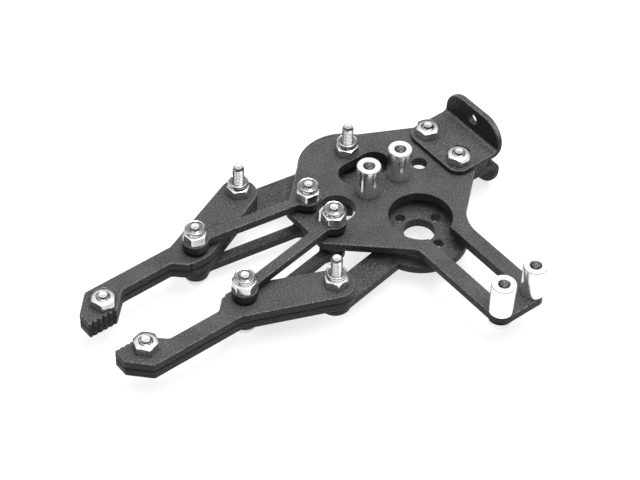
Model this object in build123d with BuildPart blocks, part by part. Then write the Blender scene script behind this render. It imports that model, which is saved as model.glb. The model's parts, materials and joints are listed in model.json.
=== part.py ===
"""Parallel gripper for a standard hobby servo: two geared arms, two links a side, two jaws.

Millimetres, +Z up.  The origin is the servo axis in the top face of the palm plate.
The jaws point towards -Y, the wrist brackets stand at +Y and the servo frame runs towards +X.
A side is +1 for the right jaw, driven by the servo, and -1 for the left jaw.
"""
from build123d import *
from math import acos, cos, pi, radians, sin, tan
import os

os.makedirs("parts", exist_ok=True)

# Linkage
gear_spacing = 28.8            # servo axis to the driven gear's axis
arm_length = 31.0              # gear axis to jaw pivot, and link pivot to link joint
link_pivot_offset = 5.0        # link pivot from the centre line
link_pivot_y = -20.0
opening = 9.0                  # degrees that the arms stand open in this pose
centre_x = -gear_spacing / 2

# Levels, from the palm's top face
plate = 2.5
running_gap = 0.1
washer = 1.0
finger_top = 0.0
link_top = finger_top + washer + plate
finger_bottom = finger_top - 2 * plate
arm_top = finger_bottom - running_gap
arm_bottom = arm_top - plate
lower_link_top = finger_bottom - washer
lower_link_bottom = lower_link_top - plate
edge_round = 0.45

# M3 hardware
shank_radius = 1.45
tap_drill = 1.25
fixed_hole = 1.5
running_hole = 1.5
head_radius = 2.8
head_height = 2.1
recess_width = 0.75
recess_length = 2.9
recess_depth = 1.3
nut_flats = 5.5
lock_nut_height = 4.0
lock_nut_hexagon = 2.7
lock_nut_collar = 2.62
thin_nut_height = 2.4
nut_chamfer = 0.25
spacer_radius = 2.9
long_end = 4.8                 # thread standing out of a nut on the gear and jaw pivots
short_end = 0.4                # on the link pivots and joints
plain_end = 0.7                # on the plain nuts

# Gears
pitch_radius = gear_spacing / 2
tip_radius = 15.5
disc_radius = 12.4
tooth_foot = 11.8              # the teeth start inside the rounded rim of the disc
pressure_angle = 20.0
backlash = 0.16
tooth_pitch = 20.0
tooth_count = 6
tooth_tip_round = 0.35
flank_steps = 4
first_tooth = {1: 73.5, -1: 63.5}    # degrees from the arm; half a pitch apart, so the teeth mesh
horn_bore = 4.0
horn_screw_circle = 6.25
horn_screw_count = 4
horn_screw_hole = 1.3
arm_half_width = 3.7
arm_eye = 4.0
arm_root = 6.0                 # the arm's straight sides run from here
arm_end = 24.0                 # to here, from the gear axis

# Links
link_half_width = 1.4
link_eye = 3.2
link_neck_round = 2.0

# Jaws, measured from the link joint of the right jaw
jaw_pivot = (pitch_radius - link_pivot_offset, -link_pivot_y)
jaw_eye = 4.7
jaw_root = [(jaw_pivot, jaw_eye), ((3.6, -4.2), 0.8), ((-2.4, -2.6), 1.3), ((-2.2, 1.6), 1.5)]
tip_bolt_place = (-1.2, -27.6)
neck_outer = 4.4
neck_inner = -0.3
jaw_face = -4.85
jaw_tip = -34.0
tip_bevel = (-0.6, -29.2)      # the tip's outer bevel ends at this X and this Y
face_end = -26.4
neck_front = -21.6
neck_back = -7.4
serration_count = 5
serration_pitch = 1.45
serration_depth = 0.5
first_serration = 0.35

# Palm plate; a reach is measured along X from the centre line
servo_hole = 8.0
servo_hole_rows = (-14.4, 35.1)
servo_hole_half_gap = 5.0
window_half_width = 3.45
window_end = 30.1
rail_outer = 7.75
rail_end = 38.1
palm_front = link_pivot_y - 5.1
front_reach = 7.0
palm_left = centre_x - 24.3
left_corner_y = -6.2
rail_front_reach = 22.6
rail_back_reach = 21.9
tongue_reach = 10.0            # the tongue between the wrist brackets
tongue_root = 21.8
tongue_end = 28.0
slot_length = 14.6
slot_width = 8.0
slot_place = (centre_x - 7.0, -0.3)
drop_circles = [((centre_x, -14.7), 4.6), ((centre_x, -20.8), 0.8)]
accessory_hole = 2.0
accessory_place = (centre_x, 11.9)

# Posts for the servo
standoff_radius = 3.0
standoff_height = 9.0
upper_thread = 5.0
lower_hole = 3.6
standoff_chamfer = 0.25

# Wrist brackets
bracket_sheet = 1.6
bracket_bend = 1.0
bracket_half_width = 10.0
bracket_front = 15.6
bracket_back = 30.7
bracket_corner = 3.5
flange_rise = 9.3
flange_corner = 6.0
flange_hole_height = 5.6
flange_hole = 1.6
bracket_bolt_y = 19.5
bracket_bolt_offset = 6.0


def side_name(side):
    return "right" if side > 0 else "left"


def gear_axis(side):
    return (centre_x + side * pitch_radius, 0.0)


def swing(side):
    """How far a jaw's pivots stand from the pivots that carry them."""
    return (side * arm_length * sin(radians(opening)), -arm_length * cos(radians(opening)))


def arm_pivot(side):
    x, y = gear_axis(side)
    dx, dy = swing(side)
    return (x + dx, y + dy)


def link_pivot(side):
    return (centre_x + side * link_pivot_offset, link_pivot_y)


def link_joint(side):
    x, y = link_pivot(side)
    dx, dy = swing(side)
    return (x + dx, y + dy)


def tip_bolt(side):
    x, y = link_joint(side)
    return (x + side * tip_bolt_place[0], y + tip_bolt_place[1])


def standoff_places():
    return [(x, y * servo_hole_half_gap) for x in servo_hole_rows for y in (-1, 1)]


def bracket_bolts():
    return [(centre_x + s * bracket_bolt_offset, bracket_bolt_y) for s in (-1, 1)]


def flat(place, height, turn=0.0):
    """A level plane at a place, turned about +Z."""
    facing = (cos(radians(turn)), sin(radians(turn)), 0)
    return Plane((place[0], place[1], height), x_dir=facing, z_dir=(0, 0, 1))


def save(part, name):
    part.label = name
    export_step(part, f"parts/{name}.step")


def soften(builder):
    """Round the outline's edges on the top and bottom faces of a plate."""
    for end in (-1, 0):
        face = builder.faces().filter_by(Plane.XY).sort_by(Axis.Z)[end]
        fillet(face.outer_wire().edges(), edge_round)


# Palm ---------------------------------------------------------------------------------------

def palm_plate():
    outline = [
        (centre_x + front_reach, palm_front),
        (centre_x + rail_front_reach, -rail_outer),
        (rail_end, -rail_outer),
        (rail_end, rail_outer),
        (centre_x + rail_back_reach, rail_outer),
        (centre_x + tongue_reach, tongue_root),
        (centre_x + tongue_reach, tongue_end),
        (centre_x - tongue_reach, tongue_end),
        (centre_x - tongue_reach, tongue_root),
        (palm_left, left_corner_y),
        (centre_x - front_reach, palm_front),
    ]
    corners = [1.5, 2.5, 3.5, 3.5, 10.0, 2.0, 3.0, 3.0, 2.0, 12.5, 1.5]
    with BuildSketch() as drop:
        for place, radius in drop_circles:
            with Locations(place):
                Circle(radius)
        make_hull()
    with BuildPart() as palm:
        with BuildSketch(Plane.XY.offset(-plate)):
            with BuildLine():
                FilletPolyline(*outline, radius=corners, close=True)
            make_face()
            Circle(servo_hole, mode=Mode.SUBTRACT)
            with Locations((window_end / 2, 0)):
                Rectangle(window_end, 2 * window_half_width, mode=Mode.SUBTRACT)
            with Locations(slot_place):
                SlotOverall(slot_length, slot_width, rotation=90, mode=Mode.SUBTRACT)
            add(drop.sketch, mode=Mode.SUBTRACT)
            with Locations(accessory_place):
                Circle(accessory_hole, mode=Mode.SUBTRACT)
            pivots = [gear_axis(-1), link_pivot(1), link_pivot(-1)]
            with Locations(*pivots, *bracket_bolts(), *standoff_places()):
                Circle(fixed_hole, mode=Mode.SUBTRACT)
        extrude(amount=plate)
        soften(palm)
    save(palm.part, "palm_plate")


def standoff(place, name):
    """A turned post: tapped for the servo's screw at the top, and for the palm's below."""
    with BuildPart() as post:
        with BuildSketch(flat(place, 0)):
            Circle(standoff_radius)
        extrude(amount=standoff_height)
        chamfer(post.edges(), standoff_chamfer)
        with BuildSketch(flat(place, standoff_height - upper_thread)):
            Circle(tap_drill)
        extrude(amount=upper_thread, mode=Mode.SUBTRACT)
        with BuildSketch(flat(place, 0)):
            Circle(fixed_hole)
        extrude(amount=lower_hole, mode=Mode.SUBTRACT)
    save(post.part, name)


def bracket(up, name):
    """An angle bracket; up is +1 on top of the palm and -1 below it."""
    seat = 0 if up > 0 else -plate
    sheet = up * bracket_sheet
    rise = up * flange_rise
    inside = bracket_back - bracket_sheet
    outer = bracket_bend + bracket_sheet
    with BuildPart() as angle:
        with BuildSketch(Plane((centre_x, 0, seat), x_dir=(0, 1, 0), z_dir=(1, 0, 0))):
            profile = [(bracket_front, 0), (bracket_back, 0), (bracket_back, rise),
                       (inside, rise), (inside, sheet), (bracket_front, sheet)]
            corners = [0, outer, 0, 0, bracket_bend, 0]
            with BuildLine():
                FilletPolyline(*profile, radius=corners, close=True)
            make_face()
        extrude(amount=bracket_half_width, both=True)
        fillet(angle.edges().filter_by(Axis.Z).group_by(Axis.Y)[0], bracket_corner)
        tips = angle.edges().filter_by(Axis.Y).group_by(Axis.Z)[-1 if up > 0 else 0]
        fillet(tips, flange_corner)
        fillet(angle.edges().filter_by(Axis.X).group_by(Axis.Y)[0], edge_round)
        with BuildSketch(Plane.XY.offset(min(seat, seat + sheet))):
            with Locations(*bracket_bolts()):
                Circle(fixed_hole)
        extrude(amount=bracket_sheet, mode=Mode.SUBTRACT)
        with BuildSketch(Plane((centre_x, bracket_back, seat), x_dir=(1, 0, 0), z_dir=(0, -1, 0))):
            with Locations((0, up * flange_hole_height)):
                Circle(flange_hole)
        extrude(amount=2 * bracket_sheet, mode=Mode.SUBTRACT)
    save(angle.part, name)


# Hardware -----------------------------------------------------------------------------------

def screws(places, seat, tip, name):
    """Pan-head screws standing head down, with a cross recess; seat is the level under the head."""
    with BuildPart() as screw:
        with BuildSketch(Plane.XY.offset(seat)):
            with Locations(*places):
                Circle(shank_radius)
        extrude(amount=tip - seat)
        chamfer(screw.edges().group_by(Axis.Z)[-1], shank_radius / 4)
        with BuildSketch(Plane.XY.offset(seat)):
            with Locations(*places):
                Circle(head_radius)
        extrude(amount=-head_height)
        fillet(screw.edges().group_by(Axis.Z)[0], head_radius / 3)
        with BuildSketch(Plane.XY.offset(seat - head_height)):
            with Locations(*places):
                Rectangle(recess_length, recess_width)
                Rectangle(recess_width, recess_length)
        extrude(amount=recess_depth, mode=Mode.SUBTRACT)
    save(screw.part, name)


def lock_nut(place, seat, name):
    """A nylon-insert nut: a hexagon with a round collar rolled over the insert."""
    with BuildPart() as nut:
        with BuildSketch(flat(place, seat)):
            RegularPolygon(nut_flats / 2, 6, major_radius=False)
        extrude(amount=lock_nut_hexagon)
        chamfer(nut.edges().group_by(Axis.Z)[0], nut_chamfer)
        with BuildSketch(flat(place, seat + lock_nut_hexagon)):
            Circle(lock_nut_collar)
        extrude(amount=lock_nut_height - lock_nut_hexagon)
        fillet(nut.edges().group_by(Axis.Z)[-1], 2 * nut_chamfer)
        with BuildSketch(flat(place, seat)):
            Circle(shank_radius)
        extrude(amount=lock_nut_height, mode=Mode.SUBTRACT)
    save(nut.part, name)


def thin_nuts(places, seat, name):
    with BuildPart() as nut:
        with BuildSketch(Plane.XY.offset(seat)):
            with Locations(*places):
                RegularPolygon(nut_flats / 2, 6, major_radius=False)
        extrude(amount=thin_nut_height)
        levels = nut.edges().group_by(Axis.Z)
        chamfer(levels[-1] + levels[0], nut_chamfer)
        with BuildSketch(Plane.XY.offset(seat)):
            with Locations(*places):
                Circle(shank_radius)
        extrude(amount=thin_nut_height, mode=Mode.SUBTRACT)
    save(nut.part, name)


def spacer(place, top, bottom, name):
    with BuildPart() as ring:
        with BuildSketch(flat(place, bottom)):
            Circle(spacer_radius)
            Circle(running_hole, mode=Mode.SUBTRACT)
        extrude(amount=top - bottom)
    save(ring.part, name)


# Gears and links ----------------------------------------------------------------------------

def involute(angle):
    return tan(angle) - angle


def tooth_flank():
    """Points up one involute flank, from inside the disc's rim to the tip, for a tooth on +X."""
    base = pitch_radius * cos(radians(pressure_angle))
    half_at_pitch = radians(tooth_pitch) / 4 - backlash / pitch_radius
    half_at_base = half_at_pitch + involute(radians(pressure_angle))
    points = [(tooth_foot * cos(half_at_base), tooth_foot * sin(half_at_base))]
    for step in range(flank_steps + 1):
        radius = base + (tip_radius - base) * step / flank_steps
        half = half_at_base - involute(acos(base / radius))
        points.append((radius * cos(half), radius * sin(half)))
    return points


def tooth_shape():
    upper = tooth_flank()
    lower = [(x, -y) for x, y in upper]
    with BuildSketch() as tooth:
        with BuildLine():
            Line(upper[0], upper[1])
            Spline(*upper[1:])
            ThreePointArc(upper[-1], (tip_radius, 0), lower[-1])
            Spline(*lower[1:][::-1])
            Polyline(lower[1], lower[0], upper[0])
        make_face()
        fillet(tooth.vertices().group_by(Axis.X)[-1], tooth_tip_round)
    return tooth.sketch


def gear_arm(side, name):
    """A toothed sector and its arm, cut from one plate and turned to the opening."""
    ground = flat(gear_axis(side), arm_bottom, side * opening)
    with BuildPart() as bar:
        with BuildSketch(ground):
            with Locations((0, -arm_root), (0, -arm_end)):
                Circle(arm_half_width)
            make_hull()
            with Locations((0, -arm_length)):
                Circle(arm_eye)
            with Locations((0, -(arm_end + arm_length) / 2)):
                Rectangle(2 * arm_half_width, arm_length - arm_end)
        extrude(amount=plate)
        soften(bar)
    with BuildPart() as arm:
        with BuildSketch(ground):
            Circle(disc_radius)
        extrude(amount=plate)
        soften(arm)
        add(bar.part)
        with BuildSketch(ground):
            toothed = (tooth_count - 1) * tooth_pitch
            middle = -90 - side * (first_tooth[side] + toothed / 2)
            with Locations(Rotation(0, 0, middle)):
                with PolarLocations(0, tooth_count, -toothed / 2, toothed, endpoint=True):
                    add(tooth_shape())
        extrude(amount=plate)
        with BuildSketch(ground):
            with Locations((0, -arm_length)):
                Circle(running_hole)
            Circle(horn_bore if side > 0 else running_hole)
            if side > 0:
                with PolarLocations(horn_screw_circle, horn_screw_count, 0):
                    Circle(horn_screw_hole)
        extrude(amount=plate, mode=Mode.SUBTRACT)
    save(arm.part, name)


def link(side, bottom, name):
    """A flat link with an eye at each end."""
    with BuildPart() as bar:
        with BuildSketch(flat(link_pivot(side), bottom, side * opening)) as shape:
            with Locations((0, -arm_length / 2)):
                Rectangle(2 * link_half_width, arm_length)
            with Locations((0, 0), (0, -arm_length)):
                Circle(link_eye)
            necks = shape.vertices().filter_by(lambda v: abs(v.X) < link_half_width + 0.01)
            fillet(necks, link_neck_round)
            with Locations((0, 0), (0, -arm_length)):
                Circle(running_hole, mode=Mode.SUBTRACT)
        extrude(amount=plate)
        soften(bar)
    save(bar.part, name)


# Jaws ---------------------------------------------------------------------------------------

def serrations(side):
    """Notches across the gripping face, in the jaw's own plane."""
    half = 0.45 * serration_pitch
    mouth = side * (jaw_face - 0.1)
    bottom = side * (jaw_face + serration_depth)
    with BuildSketch() as notches:
        for notch in range(serration_count):
            y = jaw_tip + first_serration + (notch + 0.5) * serration_pitch
            with BuildLine():
                Polyline((mouth, y - half), (mouth, y + half), (bottom, y), close=True)
            make_face()
    return notches.sketch


def jaw_plate(side, bottom, name):
    """Half of a jaw: a broad root with two pivots, a narrow neck and a serrated gripping end."""
    grip = [(neck_outer, -2), (neck_outer, tip_bevel[1]), (tip_bevel[0], jaw_tip),
            (jaw_face, jaw_tip), (jaw_face, face_end), (neck_inner, neck_front),
            (neck_inner, neck_back), (-3.4, -4.2), (0, 2)]
    corners = [1.0, 1.2, 0.8, 0.6, 0.8, 1.5, 1.5, 0.8, 1.0]
    ground = flat(link_joint(side), bottom)
    holes = [(0, 0), (side * jaw_pivot[0], jaw_pivot[1]), (side * tip_bolt_place[0], tip_bolt_place[1])]
    with BuildPart() as jaw:
        with BuildSketch(ground):
            for (x, y), radius in jaw_root:
                with Locations((side * x, y)):
                    Circle(radius)
            make_hull()
            with BuildLine():
                FilletPolyline(*[(side * x, y) for x, y in grip], radius=corners, close=True)
            make_face()
        extrude(amount=plate)
        soften(jaw)
        with BuildSketch(ground):
            add(serrations(side))
            with Locations(*holes):
                Circle(fixed_hole)
        extrude(amount=plate, mode=Mode.SUBTRACT)
    save(jaw.part, name)


# Assembly -----------------------------------------------------------------------------------

def palm():
    palm_plate()
    for number, place in enumerate(standoff_places(), start=1):
        standoff(place, f"servo_standoff_{number}")
    screws(standoff_places(), -plate, lower_hole - 0.2, "standoff_screws")
    bracket(1, "upper_wrist_bracket")
    bracket(-1, "lower_wrist_bracket")
    nut_top = bracket_sheet + thin_nut_height
    screws(bracket_bolts(), -plate - bracket_sheet, nut_top + plain_end, "bracket_screws")
    thin_nuts(bracket_bolts(), bracket_sheet, "bracket_nuts")


def gears():
    gear_arm(1, "drive_gear_arm")
    gear_arm(-1, "driven_gear_arm")
    axis = gear_axis(-1)
    screws([axis], arm_bottom, lock_nut_height + long_end, "driven_gear_screw")
    spacer(axis, -plate, arm_top, "driven_gear_spacer")
    lock_nut(axis, 0, "driven_gear_lock_nut")


def link_stack(place, middle, post, side):
    """Screw, spacers and lock nut that hold two links to a plate; middle is the plate's underside."""
    name = side_name(side)
    tip = link_top + lock_nut_height + short_end
    screws([place], lower_link_bottom, tip, f"{post}_screw_{name}")
    spacer(place, washer, 0, f"{post}_upper_spacer_{name}")
    spacer(place, middle, lower_link_top, f"{post}_lower_spacer_{name}")
    lock_nut(place, link_top, f"{post}_lock_nut_{name}")


def jaw(side):
    name = side_name(side)
    link(side, link_top - plate, f"upper_link_{name}")
    link(side, lower_link_bottom, f"lower_link_{name}")
    link_stack(link_pivot(side), -plate, "link_pivot", side)
    jaw_plate(side, finger_top - plate, f"jaw_upper_plate_{name}")
    jaw_plate(side, finger_bottom, f"jaw_lower_plate_{name}")
    link_stack(link_joint(side), finger_bottom, "link_joint", side)
    nut_top = finger_top + lock_nut_height
    screws([arm_pivot(side)], arm_bottom, nut_top + long_end, f"jaw_pivot_screw_{name}")
    lock_nut(arm_pivot(side), finger_top, f"jaw_pivot_lock_nut_{name}")
    tip_nut_top = finger_top + thin_nut_height
    screws([tip_bolt(side)], finger_bottom, tip_nut_top + plain_end, f"jaw_tip_screw_{name}")
    thin_nuts([tip_bolt(side)], finger_top, f"jaw_tip_nut_{name}")


palm()
gears()
for hand in (1, -1):
    jaw(hand)
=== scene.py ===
"""The looks of the parallel gripper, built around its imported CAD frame.

Metres, in the frame's own axes.  The plates, links, brackets and spacers stay CAD nodes, with a
powder-coat finish.  The screws, nuts and posts are replaced by detailed pieces.
"""

import json
import math

import bmesh
import bpy
from mathutils import Matrix, Vector


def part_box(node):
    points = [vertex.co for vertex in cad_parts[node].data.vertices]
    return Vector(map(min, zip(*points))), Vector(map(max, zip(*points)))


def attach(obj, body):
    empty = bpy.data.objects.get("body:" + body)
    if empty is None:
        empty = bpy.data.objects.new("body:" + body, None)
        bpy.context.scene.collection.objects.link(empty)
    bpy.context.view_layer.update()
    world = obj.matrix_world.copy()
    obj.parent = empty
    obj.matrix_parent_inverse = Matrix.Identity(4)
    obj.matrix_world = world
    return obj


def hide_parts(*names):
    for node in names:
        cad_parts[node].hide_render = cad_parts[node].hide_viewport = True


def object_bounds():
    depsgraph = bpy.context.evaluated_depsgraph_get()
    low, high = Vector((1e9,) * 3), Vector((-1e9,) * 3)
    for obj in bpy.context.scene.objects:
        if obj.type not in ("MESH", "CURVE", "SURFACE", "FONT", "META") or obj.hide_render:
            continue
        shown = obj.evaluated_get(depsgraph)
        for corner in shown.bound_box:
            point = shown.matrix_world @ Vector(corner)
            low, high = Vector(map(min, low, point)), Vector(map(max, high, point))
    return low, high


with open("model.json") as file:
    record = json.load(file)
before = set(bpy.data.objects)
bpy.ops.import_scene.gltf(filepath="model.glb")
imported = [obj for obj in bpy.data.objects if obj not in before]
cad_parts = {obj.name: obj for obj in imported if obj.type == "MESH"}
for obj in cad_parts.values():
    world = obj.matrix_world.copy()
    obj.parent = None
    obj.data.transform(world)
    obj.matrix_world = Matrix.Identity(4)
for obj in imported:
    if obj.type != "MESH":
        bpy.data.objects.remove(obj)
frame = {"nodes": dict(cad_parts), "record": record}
cad_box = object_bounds()

MM = 0.001
NODES = frame["nodes"]
BODY_OF = {node: body for body, nodes in frame["record"]["behaviour"]["bodies"].items() for node in nodes}

# Hardware, in millimetres
THREAD_MAJOR = 1.46
THREAD_MINOR = 1.19
THREAD_PITCH = 0.5
HEAD_HEIGHT = 2.1
HALF_FLATS = 2.75
CORNER_RADIUS = 3.1
CHAMFER_CIRCLE = 2.58
POST_RADIUS = 3.0
NUT_WAIST = 2.55
THIN_NUT_TOP = 2.4
TAP_DEPTH = 5.0
RINGS_PER_TURN = 6
NUT_SEGMENTS = 72

# Camera: it looks at a point of the palm's top plane from the jaws' side
TARGET = Vector((-8.5, -24.8, 0)) * MM
CAMERA_AZIMUTH = -40.1
CAMERA_ELEVATION = 46.0
CAMERA_DISTANCE = 506.6 * MM
CAMERA_ROLL = 2.2
LENS = 117.5


# Meshes -------------------------------------------------------------------------------------

def piece(name, bm, place, materials, smooth_angle=38.0):
    """Turns a bmesh in millimetres, round its own axis, into an object standing at a place."""
    bmesh.ops.recalc_face_normals(bm, faces=bm.faces)
    bmesh.ops.scale(bm, vec=(MM, MM, MM), verts=bm.verts)
    mesh = bpy.data.meshes.new(name)
    bm.to_mesh(mesh)
    bm.free()
    mesh.shade_smooth()
    mesh.set_sharp_from_angle(angle=math.radians(smooth_angle))
    for material in materials:
        mesh.materials.append(material)
    made = bpy.data.objects.new(name, mesh)
    made.location = place
    bpy.context.scene.collection.objects.link(made)
    return made


def skin(bm, rings, segments, bottom=False, top=False, material=0):
    """Skins a stack of rings; each ring gives (radius, height) for an angle round the axis."""
    angles = [2 * math.pi * step / segments for step in range(segments)]
    loops = []
    for ring in rings:
        polar = [(ring(angle), angle) for angle in angles]
        loops.append([bm.verts.new((r * math.cos(a), r * math.sin(a), z)) for (r, z), a in polar])
    for lower, upper in zip(loops, loops[1:]):
        for near in range(segments):
            far = (near + 1) % segments
            face = bm.faces.new((lower[near], lower[far], upper[far], upper[near]))
            face.material_index = material
    if bottom:
        bm.faces.new(loops[0][::-1])
    if top:
        bm.faces.new(loops[-1])
    return loops


def level(radius, height):
    return lambda angle: (radius, height)


def hexagon(angle):
    """Radius of a hexagon with rounded corners."""
    off_flat = (angle + math.pi / 6) % (math.pi / 3) - math.pi / 6
    return min(HALF_FLATS / math.cos(off_flat), CORNER_RADIUS)


def hexagon_ring(height, slope):
    """A hexagon's edge where a 30 degree chamfer cuts it; slope is +1 at the foot and -1 at the top."""
    def ring(angle):
        radius = hexagon(angle)
        return radius, height + slope * (radius - CHAMFER_CIRCLE) * math.tan(math.pi / 6)
    return ring


def thread_form(height, angle):
    """Share of the thread's depth that stands at a height and angle of a right-hand helix."""
    phase = (height / THREAD_PITCH - angle / (2 * math.pi)) % 1
    return min(1, max(0, (abs(2 * phase - 1) - 0.14) / 0.66))


def threaded_rings(start, end, taper):
    """Rings of an outside thread that runs out in a tapered end."""
    steps = max(2, round((end - start) / THREAD_PITCH * RINGS_PER_TURN))
    rings = []
    for step in range(steps + 1):
        height = start + (end - start) * step / steps
        limit = THREAD_MAJOR - max(0, height - (end - taper)) * 0.55

        def ring(angle, height=height, limit=limit):
            form = thread_form(height, angle)
            return min(limit, THREAD_MINOR + (THREAD_MAJOR - THREAD_MINOR) * form), height
        rings.append(ring)
    return rings


def tapered_bar(bm, length, width, foot_length, foot_width, low, high):
    """A bar for cutting one arm of a cross recess: wide at the low end, narrow at the high end."""
    corners = []
    for height, long_side, short_side in ((low, length, width), (high, foot_length, foot_width)):
        for x, y in ((-1, -1), (1, -1), (1, 1), (-1, 1)):
            corners.append(bm.verts.new((x * long_side / 2, y * short_side / 2, height)))
    for quad in ((3, 2, 1, 0), (4, 5, 6, 7), (0, 1, 5, 4), (1, 2, 6, 5), (2, 3, 7, 6), (3, 0, 4, 7)):
        bm.faces.new([corners[corner] for corner in quad])


def cut(made, turn):
    """Cuts one arm of the cross recess out of a screw's head."""
    bm = bmesh.new()
    tapered_bar(bm, 3.1, 0.85, 1.1, 0.4, -0.2, 1.35)
    bmesh.ops.rotate(bm, verts=bm.verts, matrix=Matrix.Rotation(turn, 3, "Z"))
    cutter = piece("recess_cutter", bm, made.location, [])
    bool_mod = made.modifiers.new("recess", "BOOLEAN")
    bool_mod.operation = "DIFFERENCE"
    bool_mod.solver = "EXACT"
    bool_mod.object = cutter
    bpy.context.view_layer.update()
    evaluated = made.evaluated_get(bpy.context.evaluated_depsgraph_get())
    fresh = bpy.data.meshes.new_from_object(evaluated)
    made.modifiers.clear()
    made.data = fresh
    bpy.data.objects.remove(cutter)


def screw(name, node, place, seat, tip, plain):
    """A pan-head screw, head down; seat, tip and the plain length are above the head's outer face."""
    bm = bmesh.new()
    head = [(0.9, 0.0), (1.7, 0.04), (2.15, 0.2), (2.5, 0.5),
            (2.72, 0.95), (2.8, 1.45), (2.8, 2.0), (2.7, seat)]
    shank = [(1.6, seat), (THREAD_MINOR + 0.1, seat + 0.15), (THREAD_MINOR + 0.1, seat + plain)]
    rings = [level(r, z) for r, z in head + shank]
    rings += threaded_rings(seat + plain + 0.05, tip - 0.04, 0.7)
    rings += [level(0.95, tip - 0.02), level(0.55, tip - 0.1)]
    skin(bm, rings, 40, bottom=True, top=True)
    made = piece(name, bm, place, [SCREW_STEEL], 32)
    cut(made, 0.35)
    cut(made, 0.35 + math.pi / 2)
    settle(made, node)


def lock_nut(node):
    """A nylon-insert nut: chamfered hexagon, groove, rolled collar and the insert inside it."""
    bm = bmesh.new()
    waist = NUT_WAIST
    rings = [level(1.5, 0.2), level(1.7, 0), level(CHAMFER_CIRCLE, 0), hexagon_ring(0, 1),
             hexagon_ring(waist, -1), level(CHAMFER_CIRCLE, waist), level(2.36, waist + 0.04),
             level(2.3, waist + 0.2), level(2.36, waist + 0.36), level(2.56, waist + 0.5),
             level(2.61, waist + 0.8), level(2.57, waist + 1.1), level(2.44, waist + 1.33),
             level(2.24, waist + 1.43), level(2.06, waist + 1.38), level(1.98, waist + 1.2)]
    skin(bm, rings, NUT_SEGMENTS)
    insert = [level(1.98, waist + 1.2), level(1.9, waist + 1.08), level(1.6, waist + 1.06),
              level(1.5, waist + 0.95), level(1.5, 0.2)]
    skin(bm, insert, NUT_SEGMENTS, material=1)
    bmesh.ops.remove_doubles(bm, verts=bm.verts, dist=0.001)
    bmesh.ops.rotate(bm, verts=bm.verts, matrix=Matrix.Rotation(math.radians(NUT_TURN[node]), 3, "Z"))
    low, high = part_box(node)
    made = piece(node + "_nylon", bm, ((low.x + high.x) / 2, (low.y + high.y) / 2, low.z),
                 [NUT_STEEL, NYLON])
    settle(made, node)


def thin_nut(name, node, place, turn):
    """A plain hexagon nut, chamfered and countersunk on both faces."""
    bm = bmesh.new()
    top = THIN_NUT_TOP
    rings = [level(1.48, 0.3), level(1.75, 0), level(CHAMFER_CIRCLE, 0), hexagon_ring(0, 1),
             hexagon_ring(top, -1), level(CHAMFER_CIRCLE, top), level(1.78, top), level(1.48, top - 0.3)]
    loops = skin(bm, rings, NUT_SEGMENTS)
    for near in range(NUT_SEGMENTS):
        far = (near + 1) % NUT_SEGMENTS
        bm.faces.new((loops[-1][near], loops[-1][far], loops[0][far], loops[0][near]))
    bmesh.ops.rotate(bm, verts=bm.verts, matrix=Matrix.Rotation(math.radians(turn), 3, "Z"))
    made = piece(name, bm, place, [NUT_STEEL])
    settle(made, node)


def post(node):
    """A turned post with a threaded, countersunk hole in its top."""
    bm = bmesh.new()
    low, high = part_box(node)
    height = (high.z - low.z) / MM
    outside = [level(1.6, 0), level(2.78, 0), level(POST_RADIUS - 0.02, 0.18), level(POST_RADIUS, 0.4),
               level(POST_RADIUS, height - 0.2), level(POST_RADIUS - 0.04, height - 0.08),
               level(POST_RADIUS - 0.12, height), level(1.52, height), level(1.4, height - 0.12)]
    steps = round(TAP_DEPTH / THREAD_PITCH * RINGS_PER_TURN)
    for step in range(steps + 1):
        z = height - 0.3 - (TAP_DEPTH - 0.3) * step / steps

        def ring(angle, z=z):
            return 1.42 - 0.17 * thread_form(z, angle), z
        outside.append(ring)
    skin(bm, outside, 64, bottom=True, top=True)
    made = piece(node + "_turned", bm, ((low.x + high.x) / 2, (low.y + high.y) / 2, low.z), [ALUMINIUM])
    settle(made, node)


def settle(made, node):
    """Lets a piece ride where the node that it replaces rides."""
    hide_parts(node)
    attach(made, BODY_OF[node])


# Materials ----------------------------------------------------------------------------------

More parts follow.
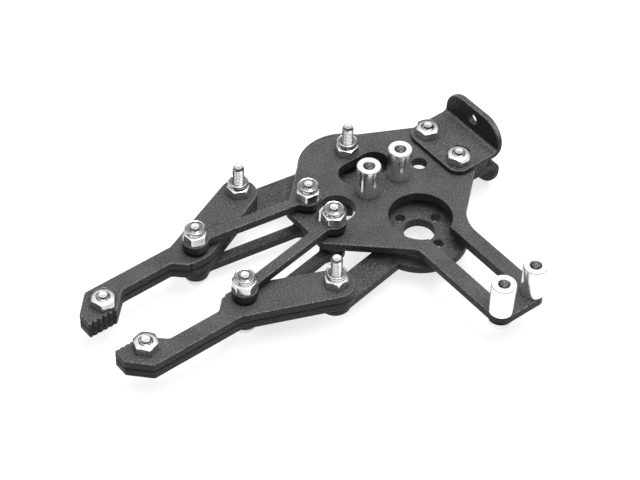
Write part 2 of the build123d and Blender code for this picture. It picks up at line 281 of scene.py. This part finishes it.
class Shader:
    """A short way to write a node material."""

    def __init__(self, name):
        self.material = bpy.data.materials.new(name)
        self.material.use_nodes = True
        self.tree = self.material.node_tree
        self.bsdf = self.tree.nodes["Principled BSDF"]
        self.place = self.add("TexCoord").outputs["Object"]

    def add(self, kind, **values):
        node = self.tree.nodes.new("ShaderNode" + kind)
        for key, value in values.items():
            setattr(node, key, value)
        return node

    def link(self, source, target):
        self.tree.links.new(source, target)

    def noise(self, scale, detail=2.0, roughness=0.5, stretch=(1, 1, 1)):
        """Noise with about scale features to the metre."""
        mapping = self.add("Mapping")
        mapping.inputs["Scale"].default_value = stretch
        self.link(self.place, mapping.inputs["Vector"])
        node = self.add("TexNoise")
        node.inputs["Scale"].default_value = scale
        node.inputs["Detail"].default_value = detail
        node.inputs["Roughness"].default_value = roughness
        self.link(mapping.outputs["Vector"], node.inputs["Vector"])
        return node.outputs["Fac"]

    def spread(self, source, low, high, out_low=0.0, out_high=1.0):
        """Maps the range low to high onto the other range, clamped."""
        node = self.add("MapRange")
        for key, value in (("From Min", low), ("From Max", high), ("To Min", out_low), ("To Max", out_high)):
            node.inputs[key].default_value = value
        self.link(source, node.inputs["Value"])
        return node.outputs["Result"]

    def mix(self, share, first, second):
        """Mixes two colours, each a triple or a socket."""
        node = self.add("Mix", data_type="RGBA")
        for key, value in (("A", first), ("B", second)):
            socket = next(s for s in node.inputs if s.name == key and s.type == "RGBA")
            if isinstance(value, tuple):
                socket.default_value = (*value, 1)
            else:
                self.link(value, socket)
        self.link(share, node.inputs["Factor"])
        return next(s for s in node.outputs if s.type == "RGBA")

    def math(self, operation, first, second):
        node = self.add("Math", operation=operation)
        for socket, value in zip(node.inputs, (first, second)):
            if isinstance(value, (int, float)):
                socket.default_value = value
            else:
                self.link(value, socket)
        return node.outputs[0]

    def radius(self):
        """Distance from the piece's own axis."""
        self.split = self.add("SeparateXYZ")
        self.link(self.place, self.split.inputs[0])
        across, back = self.split.outputs["X"], self.split.outputs["Y"]
        squares = self.math("ADD", self.math("MULTIPLY", across, across), self.math("MULTIPLY", back, back))
        return self.math("SQRT", squares, 0.0)

    def bump(self, height, distance, strength=1.0, under=None):
        node = self.add("Bump")
        node.inputs["Distance"].default_value = distance
        node.inputs["Strength"].default_value = strength
        self.link(height, node.inputs["Height"])
        if under is not None:
            self.link(under, node.inputs["Normal"])
        return node.outputs["Normal"]

    def finish(self, colour, roughness, normal, metallic=0.0, specular=0.5):
        self.link(colour, self.bsdf.inputs["Base Color"])
        self.link(roughness, self.bsdf.inputs["Roughness"])
        self.link(normal, self.bsdf.inputs["Normal"])
        self.bsdf.inputs["Metallic"].default_value = metallic
        self.bsdf.inputs["Specular IOR Level"].default_value = specular
        return self.material


SPECK_WEAR_AND_HIGHLIGHT_GREY = (0.30, 0.30, 0.305)
PAINTED_GROOVE_SHADE = (0.004, 0.004, 0.004)
ROOT_SHADE = (0.28, 0.28, 0.275)
HOLE_SHADE = (0.36, 0.36, 0.36)
LATHE_PITCH = 0.00011


def powder_coat(name, dark, light, rough, edge_wear_and_light_strength, edge_wear_and_light=SPECK_WEAR_AND_HIGHLIGHT_GREY):
    """Grainy black powder coat, with painted shade on walls and undersides and an edge colour on its upper
    rounded edges.
    """
    coat = Shader(name)
    slope = coat.add("SeparateXYZ")
    coat.link(coat.add("TexCoord").outputs["Normal"], slope.inputs[0])
    tilt = slope.outputs["Z"]
    # Upward-facing rounded edges: worn coat, lightened as a painted highlight
    edge = coat.math("MULTIPLY", coat.spread(tilt, 0.2, 0.5), coat.spread(tilt, 0.8, 0.97, 1.0, 0.0))
    # Painted shade: walls darken towards the vertical, undersides most
    painted_wall_shade = coat.math("MAXIMUM", coat.spread(tilt, 0.1, 0.6, 0.72, 0.0),
                     coat.spread(tilt, -0.3, -0.1, 0.9, 0.0))
    grain = coat.noise(2600, 2.0, 0.65)
    pebble = coat.noise(1500, 1.0, 0.5)
    patch = coat.noise(110, 3.0, 0.55)
    speck = coat.spread(coat.noise(2300, 0.0, 0.4), 0.70, 0.78)
    tone = coat.math("ADD", coat.spread(grain, 0.3, 0.7, 0.0, 0.75), coat.spread(patch, 0.3, 0.7, 0.0, 0.25))
    colour = coat.mix(tone, dark, light)
    # Edge colour share: wear with painted highlight, and on the lower jaw plates black painted groove shade
    edge_wear_and_light_share = coat.math("MULTIPLY", edge, coat.spread(grain, 0.38, 0.6, 0.25 * edge_wear_and_light_strength, edge_wear_and_light_strength))
    colour = coat.mix(coat.math("MULTIPLY", speck, 0.3), colour, SPECK_WEAR_AND_HIGHLIGHT_GREY)
    colour = coat.mix(edge_wear_and_light_share, colour, edge_wear_and_light)
    colour = coat.mix(painted_wall_shade, colour, dark)
    roughness = coat.math("ADD", coat.spread(grain, 0.3, 0.7, rough - 0.08, rough + 0.08),
                          coat.spread(patch, 0.3, 0.7, -0.04, 0.04))
    coarse = coat.bump(pebble, 0.00035, 0.8)
    normal = coat.bump(grain, 0.00020, 0.8, coarse)
    return coat.finish(colour, roughness, normal, specular=0.15)


def turned_aluminium(name):
    """Bright turned metal with lathe rings round the side and over the face."""
    metal = Shader(name)
    radius = metal.radius()
    along = metal.math("ADD", metal.split.outputs["Z"], radius)
    tool = metal.math("SINE", metal.math("MULTIPLY", along, 2 * math.pi / LATHE_PITCH), 0.0)
    rings = metal.add("TexNoise", noise_dimensions="1D")
    rings.inputs["Scale"].default_value = 9000
    rings.inputs["Detail"].default_value = 3
    metal.link(along, rings.inputs["W"])
    blotch = metal.noise(700, 3.0)
    height = metal.math("ADD", metal.math("MULTIPLY", tool, 0.35), rings.outputs["Fac"])
    colour = metal.mix(metal.spread(blotch, 0.3, 0.7), (0.83, 0.83, 0.825), (0.88, 0.88, 0.88))
    # Painted shade inside the tapped hole
    colour = metal.mix(metal.spread(radius, 0.00138, 0.00147), HOLE_SHADE, colour)
    roughness = metal.math("ADD", metal.spread(rings.outputs["Fac"], 0.3, 0.7, 0.15, 0.25),
                           metal.spread(blotch, 0.3, 0.7, -0.03, 0.05))
    return metal.finish(colour, roughness, metal.bump(height, 0.0000006, 0.5), metallic=1.0)


def plated_steel(name, dark, light, rough, root=None):
    """Plated steel with faint tumbling marks; below the root radius its threads carry painted shade, but not
    its tip.
    """
    metal = Shader(name)
    cloud = metal.noise(900, 3.0, 0.6)
    scratch = metal.noise(5200, 3.0, 0.7, (0.25, 1, 0.6))
    colour = metal.mix(metal.spread(cloud, 0.3, 0.7), dark, light)
    if root:
        radius = metal.radius()
        # Painted shade in the thread roots; the tip's end face keeps its colour
        unshaded = metal.math("MAXIMUM", metal.spread(radius, root - 0.00004, root + 0.00012),
                           metal.spread(radius, 0.0009, 0.00105, 1.0, 0.0))
        colour = metal.mix(unshaded, ROOT_SHADE, colour)
    roughness = metal.math("ADD", metal.spread(cloud, 0.3, 0.7, rough - 0.05, rough + 0.07),
                           metal.spread(scratch, 0.35, 0.65, -0.03, 0.05))
    height = metal.math("ADD", metal.math("MULTIPLY", cloud, 2.0), scratch)
    return metal.finish(colour, roughness, metal.bump(height, 0.0000015, 0.5), metallic=1.0)


def nylon(name):
    """Cloudy grey nylon."""
    plastic = Shader(name)
    cloud = plastic.noise(1800, 2.0)
    colour = plastic.mix(cloud, (0.10, 0.10, 0.10), (0.2, 0.2, 0.195))
    roughness = plastic.spread(cloud, 0.3, 0.7, 0.4, 0.55)
    return plastic.finish(colour, roughness, plastic.bump(cloud, 0.00002, 0.5))


COAT = powder_coat("black_powder_coat", (0.010, 0.010, 0.0105), (0.125, 0.125, 0.128), 0.50, 0.5)
# Lower plates and arms: a little darker, with fainter worn and painted-highlight edges
LOWER_PARTS_COAT = powder_coat("sheltered_powder_coat", (0.010, 0.010, 0.0105), (0.110, 0.110, 0.113), 0.50,
                             0.12)
# Lower jaw plates: black painted shade on their upper edges, in the groove below the upper plates
GROOVE_SHADED_COAT = powder_coat("groove_shaded_powder_coat", (0.008, 0.008, 0.0085), (0.115, 0.115, 0.118), 0.50, 1.0,
                          PAINTED_GROOVE_SHADE)
SPACER_BLACK = powder_coat("black_spacer_finish", (0.008, 0.008, 0.009), (0.034, 0.034, 0.036), 0.42, 0.2)
ALUMINIUM = turned_aluminium("turned_aluminium_finish")
SCREW_STEEL = plated_steel("plated_screw_steel", (0.62, 0.615, 0.60), (0.74, 0.735, 0.72), 0.2, root=0.00125)
NUT_STEEL = plated_steel("plated_nut_steel", (0.58, 0.58, 0.57), (0.70, 0.70, 0.69), 0.14)
NYLON = nylon("grey_nylon")


# CAD nodes that stay ------------------------------------------------------------------------

def coat_of(node):
    """The finish of a plate, bracket or spacer; a lower jaw plate has black painted shade in the groove
    between the two.
    """
    if "spacer" in node:
        return SPACER_BLACK
    if "jaw_lower" in node:
        return GROOVE_SHADED_COAT
    return LOWER_PARTS_COAT if "lower" in node or "arm" in node else COAT


for node in NODES:
    NODES[node].data.materials.clear()
    NODES[node].data.materials.append(coat_of(node))


# Replaced hardware --------------------------------------------------------------------------

NUT_TURN = {
    "driven_gear_lock_nut": 10, "link_pivot_lock_nut_right": 22, "link_pivot_lock_nut_left": 48,
    "jaw_pivot_lock_nut_right": 5, "jaw_pivot_lock_nut_left": 33, "link_joint_lock_nut_right": 16,
    "link_joint_lock_nut_left": 40, "jaw_tip_nut_right": 12, "jaw_tip_nut_left": 50,
}


def centre_of(node):
    low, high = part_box(node)
    return (low.x + high.x) / 2, (low.y + high.y) / 2


def screw_node(node, places, plain):
    """Replaces one node of screws, all between the same levels."""
    low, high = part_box(node)
    tip = (high.z - low.z) / MM
    for number, (x, y) in enumerate(places, start=1):
        name = node + "_threaded" + (f"_{number}" if len(places) > 1 else "")
        screw(name, node, (x, y, low.z), HEAD_HEIGHT, tip, plain)


for node in sorted(NODES):
    if "lock_nut" in node:
        lock_nut(node)
    elif "tip_nut" in node:
        thin_nut(node + "_plated", node, (*centre_of(node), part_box(node)[0].z), NUT_TURN[node])
    elif node.startswith("servo_standoff"):
        post(node)
    elif "screw" in node and node not in ("standoff_screws", "bracket_screws"):
        low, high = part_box(node)
        nut = next((n for n in NODES if n == node.replace("screw", "lock_nut")), None)
        nut = nut or node.replace("screw", "nut")
        screw_node(node, [centre_of(node)], (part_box(nut)[0].z - low.z) / MM - HEAD_HEIGHT + 0.3)

# Nodes that hold several screws or nuts
posts = [centre_of(f"servo_standoff_{number}") for number in (1, 2, 3, 4)]
screw_node("standoff_screws", posts, 1.0)
low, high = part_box("bracket_screws")
head = (high.y - low.y) / 2
bolts = [(low.x + head, low.y + head), (high.x - head, low.y + head)]
screw_node("bracket_screws", bolts, 4.0)
nut_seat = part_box("bracket_nuts")[0].z
for number, (x, y) in enumerate(bolts, start=1):
    thin_nut(f"bracket_nut_{number}_plated", "bracket_nuts", (x, y, nut_seat), 20 + 18 * number)


# Stage --------------------------------------------------------------------------------------

def studio():
    """A pale floor under the gripper, open from below, and a soft sky that the camera sees as white."""
    bm = bmesh.new()
    bmesh.ops.create_grid(bm, x_segments=1, y_segments=1, size=3000)
    pale = Shader("pale_floor_paper")
    tone = pale.mix(pale.noise(30), (0.30, 0.30, 0.30), (0.33, 0.33, 0.33))
    roughness = pale.spread(pale.noise(200), 0, 1, 0.85, 0.95)
    paper = pale.finish(tone, roughness, pale.bump(pale.noise(800), 0.00001))
    pale.bsdf.inputs["Emission Color"].default_value = (1, 1, 1, 1)
    pale.bsdf.inputs["Emission Strength"].default_value = 0.74
    clear = pale.add("MixShader")
    pale.link(pale.add("NewGeometry").outputs["Backfacing"], clear.inputs[0])
    pale.link(pale.bsdf.outputs[0], clear.inputs[1])
    pale.link(pale.add("BsdfTransparent").outputs[0], clear.inputs[2])
    pale.link(clear.outputs[0], pale.tree.nodes["Material Output"].inputs["Surface"])
    floor = piece("floor", bm, (0, 0, cad_box[0].z), [paper])
    floor.visible_diffuse = False
    floor.visible_shadow = False

    world = bpy.data.worlds.new("studio_sky")
    bpy.context.scene.world = world
    world.use_nodes = True
    tree = world.node_tree
    place = tree.nodes.new("ShaderNodeTexCoord")
    split = tree.nodes.new("ShaderNodeSeparateXYZ")
    ramp = tree.nodes.new("ShaderNodeValToRGB")
    spread = tree.nodes.new("ShaderNodeMapRange")
    spread.inputs["From Min"].default_value = -1
    tree.links.new(place.outputs["Generated"], split.inputs[0])
    tree.links.new(split.outputs["Z"], spread.inputs["Value"])
    tree.links.new(spread.outputs["Result"], ramp.inputs["Fac"])
    backdrop = tree.nodes.new("ShaderNodeMixRGB")
    backdrop.inputs["Color2"].default_value = (0.9, 0.9, 0.9, 1)
    tree.links.new(tree.nodes.new("ShaderNodeLightPath").outputs["Is Camera Ray"], backdrop.inputs["Fac"])
    tree.links.new(ramp.outputs["Color"], backdrop.inputs["Color1"])
    tree.links.new(backdrop.outputs["Color"], tree.nodes["Background"].inputs["Color"])
    stops = [(0.0, 0.05), (0.50, 0.03), (0.68, 0.09), (0.80, 0.65), (0.86, 1.3), (1.0, 1.6)]
    while len(ramp.color_ramp.elements) < len(stops):
        ramp.color_ramp.elements.new(0.5)
    for element, (position, tone) in zip(ramp.color_ramp.elements, stops):
        element.position = position
        element.color = (tone, tone, tone, 1)
    tree.nodes["Background"].inputs["Strength"].default_value = 1.0


def lamp(name, place, size, power):
    """A square soft box that faces the gripper."""
    data = bpy.data.lights.new(name, "AREA")
    data.size = size
    data.energy = power
    made = bpy.data.objects.new(name, data)
    made.location = place
    made.rotation_euler = (TARGET - Vector(place)).to_track_quat("-Z", "Y").to_euler()
    bpy.context.scene.collection.objects.link(made)


def camera():
    azimuth, elevation = math.radians(CAMERA_AZIMUTH), math.radians(CAMERA_ELEVATION)
    back = Vector((math.cos(azimuth) * math.cos(elevation), math.sin(azimuth) * math.cos(elevation),
                   math.sin(elevation)))
    data = bpy.data.cameras.new("camera")
    data.lens = LENS
    data.clip_start = 0.01
    made = bpy.data.objects.new("camera", data)
    made.location = TARGET + back * CAMERA_DISTANCE
    upright = (-back).to_track_quat("-Z", "Y").to_matrix()
    made.rotation_euler = (upright @ Matrix.Rotation(math.radians(CAMERA_ROLL), 3, "Z")).to_euler()
    bpy.context.scene.collection.objects.link(made)
    bpy.context.scene.camera = made


studio()
lamp("soft_box_over_back", (-0.12, 0.2, 0.9), 0.5, 5)
lamp("soft_box_below", (0, 0, -0.7), 0.6, 5)
lamp("soft_box_right", (0.25, 0.0, 0.7), 0.3, 1.5)
camera()
bpy.context.scene.view_settings.view_transform = "Standard"
